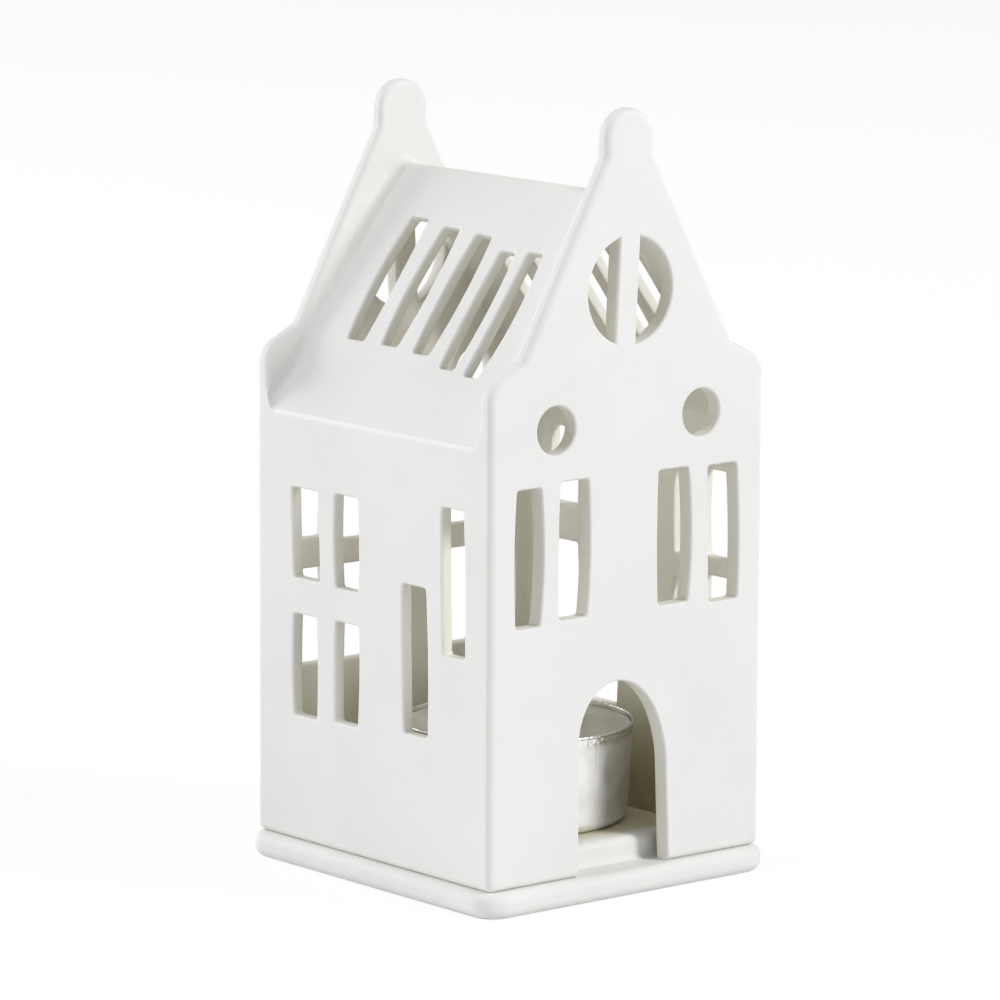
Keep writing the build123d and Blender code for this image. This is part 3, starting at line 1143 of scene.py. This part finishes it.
@dataclass
class TealightWick:
    """The wick: cotton strands twisted about each other, leaning over at the tip."""

    body: str = "tealight"
    node: str = "tealight_wick"
    slot: str = "wick"
    strands: int = 3
    strand_radius: float = mm(0.34)
    strand_sides: int = 12
    twist_length: float = mm(3.2)
    lean: float = mm(0.9)
    lean_power: float = 5.0
    steps_per_turn: int = 24
    crease_angle: float = math.radians(60)
    finish: WaxedCotton = WaxedCotton()

    def dress(self) -> None:
        """Twist the strands, paint them and place them."""
        low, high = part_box(self.node)
        foot = foot_of(low, high)
        length = high.z - low.z - self.strand_radius
        tree = GeometryTree("twist_wick")
        strands = tree.offer("Strands", Socket.COUNT, self.strands)
        reach = tree.offer("Helix Radius", Socket.LENGTH, (high.x - low.x) / 2 - self.strand_radius)
        thick = tree.offer("Strand Radius", Socket.LENGTH, self.strand_radius)
        helix = tree.add(
            "GeometryNodeCurveSpiral",
            Resolution=self.steps_per_turn,
            Rotations=length / self.twist_length,
            Start_Radius=reach,
            End_Radius=reach,
            Height=length,
        )
        points = tree.add("GeometryNodeMeshLine", Count=strands, Offset=(0.0, 0.0, 0.0))
        turn = tree.math("DIVIDE", tree.math("MULTIPLY", tree.index(), math.tau), strands)
        spread = tree.add(
            "GeometryNodeInstanceOnPoints",
            Points=points.outputs["Mesh"],
            Instance=helix.outputs["Curve"],
            Rotation=tree.vector(0.0, 0.0, turn),
        )
        loose = tree.add("GeometryNodeRealizeInstances", Geometry=spread.outputs["Instances"])
        ring = tree.add("GeometryNodeCurvePrimitiveCircle", Resolution=self.strand_sides, Radius=thick)
        tube = tree.add(
            "GeometryNodeCurveToMesh",
            Curve=loose.outputs["Geometry"],
            Profile_Curve=ring.outputs["Curve"],
            Fill_Caps=True,
        )
        share = tree.math("DIVIDE", tree.axes(tree.position())[2], length)
        bend = tree.math("MULTIPLY", tree.math("POWER", share, self.lean_power), self.lean)
        shift = tree.vector(tree.math("ADD", bend, foot.x), foot.y, foot.z)
        shape = tree.add("GeometryNodeSetPosition", Geometry=tube.outputs["Mesh"], Offset=shift)
        tree.finish(shape.outputs["Geometry"], self.finish.material())
        wick = tree.bake("braided_wick")
        turn_outwards(wick)
        smooth(wick, self.crease_angle)
        place_piece(wick, self.body, (self.node,))


@dataclass
class WickSustainer:
    """The tinned disc that holds the wick up, inside the wax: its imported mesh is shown."""

    body: str = "tealight"
    node: str = "wick_sustainer"
    slot: str = "sustainer_steel"
    finish: DrawnMetal = DrawnMetal("tinned_steel", bright=(0.66,) * 3, dull=(0.52,) * 3, roughness=0.36)

    def dress(self) -> None:
        """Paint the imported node."""
        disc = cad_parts[self.node]
        paint(disc, self.finish.material())
        LOG.info("%s keeps its packed mesh", disc.name)


@dataclass(frozen=True)
class Softbox:
    """A square lamp that points at the middle of the house, with its power in watts."""

    name: str
    place: tuple
    size: float
    power: float

    def hang(self) -> None:
        """Hang the lamp in its place."""
        data = bpy.data.lights.new(self.name, "AREA")
        data.size = self.size
        data.energy = self.power
        lamp = link_object(self.name, data)
        low, high = cad_bounds
        aim = (low + high) / 2 - Vector(self.place)
        turn = aim.to_track_quat("-Z", "Y").to_matrix().to_4x4()
        lamp.matrix_world = Matrix.Translation(self.place) @ turn


@dataclass
class Studio:
    """Camera, lamps, floor and world."""

    camera_place: tuple = (mm(-625.491), mm(-750.816), mm(228.068))
    yaw: float = math.radians(-39.717)
    pitch: float = math.radians(-9.727)
    roll: float = math.radians(0.259)
    lens: float = 218.54
    clip: tuple[float, float] = (mm(10), 20.0)
    floor_radius: float = 4.0
    floor_sides: int = 96
    paper: tuple = (0.82, 0.82, 0.82, 1.0)
    glow: float = 1.08
    glow_share: float = 0.8
    fill: float = 0.40
    softboxes: tuple[Softbox, ...] = (
        Softbox("front_softbox", (mm(820), mm(-1420), mm(1120)), size=mm(420), power=23.4),
        Softbox("left_softbox", (mm(-1500), mm(300), mm(900)), size=mm(1200), power=10.2),
        Softbox("rear_softbox", (mm(-500), mm(1500), mm(600)), size=mm(1000), power=14.0),
    )

    def build(self) -> None:
        """Set up the whole studio."""
        self.place_camera()
        self.lay_floor()
        for softbox in self.softboxes:
            softbox.hang()
        self.fill_world()
        bpy.context.scene.view_settings.view_transform = "Standard"

    def place_camera(self) -> None:
        """Stand the camera where the photograph was taken from."""
        data = bpy.data.cameras.new("camera")
        data.lens = self.lens
        data.clip_start, data.clip_end = self.clip
        camera = link_object("camera", data)
        turn = Matrix.Rotation(self.yaw, 4, "Z")
        tilt = Matrix.Rotation(math.pi / 2 + self.pitch, 4, "X")
        lean = Matrix.Rotation(self.roll, 4, "Z")
        camera.matrix_world = Matrix.Translation(self.camera_place) @ turn @ tilt @ lean
        bpy.context.scene.camera = camera

    def lay_floor(self) -> None:
        """Lay a plain pale floor, which shows nearly white and keeps the shadow."""
        plan = bmesh.new()
        bmesh.ops.create_circle(plan, cap_ends=True, segments=self.floor_sides, radius=self.floor_radius)
        mesh = bpy.data.meshes.new("floor")
        plan.to_mesh(mesh)
        plan.free()
        floor = link_object("floor", mesh)
        graph = ShaderGraph("floor_paper")
        paper = graph.add("ShaderNodeBsdfDiffuse", Color=self.paper).outputs["BSDF"]
        glow = graph.add("ShaderNodeEmission", Color=WHITE, Strength=self.glow).outputs["Emission"]
        seen = graph.add("ShaderNodeLightPath")
        share = graph.math("MAXIMUM", seen.outputs["Is Camera Ray"], seen.outputs["Is Glossy Ray"])
        blend = graph.blend(graph.math("MULTIPLY", share, self.glow_share), paper, glow)
        graph.feed(blend, graph.output.inputs["Surface"])
        paint(floor, graph.material)

    def fill_world(self) -> None:
        """Let the world fill the shadows, while the camera sees it white."""
        world = bpy.data.worlds.new("studio")
        bpy.context.scene.world = world
        world.use_nodes = True
        graph = NodeBuilder(world.node_tree)
        graph.tree.nodes.clear()
        seen = graph.add("ShaderNodeLightPath")
        share = graph.math("MAXIMUM", seen.outputs["Is Camera Ray"], seen.outputs["Is Transmission Ray"])
        fill = graph.add("ShaderNodeBackground", Strength=self.fill).outputs["Background"]
        backdrop = graph.add("ShaderNodeBackground", Color=WHITE).outputs["Background"]
        graph.add("ShaderNodeOutputWorld", Surface=graph.blend(share, fill, backdrop))


def main() -> None:
    """Build the house, its plate and its tealight, and light them."""
    logging.basicConfig(level=logging.INFO, format="%(message)s")
    for kind in (HouseShell, BasePlate, TealightCup, TealightWax, TealightWick, WickSustainer):
        kind().dress()
    Studio().build()


if __name__ == "__main__":
    main()
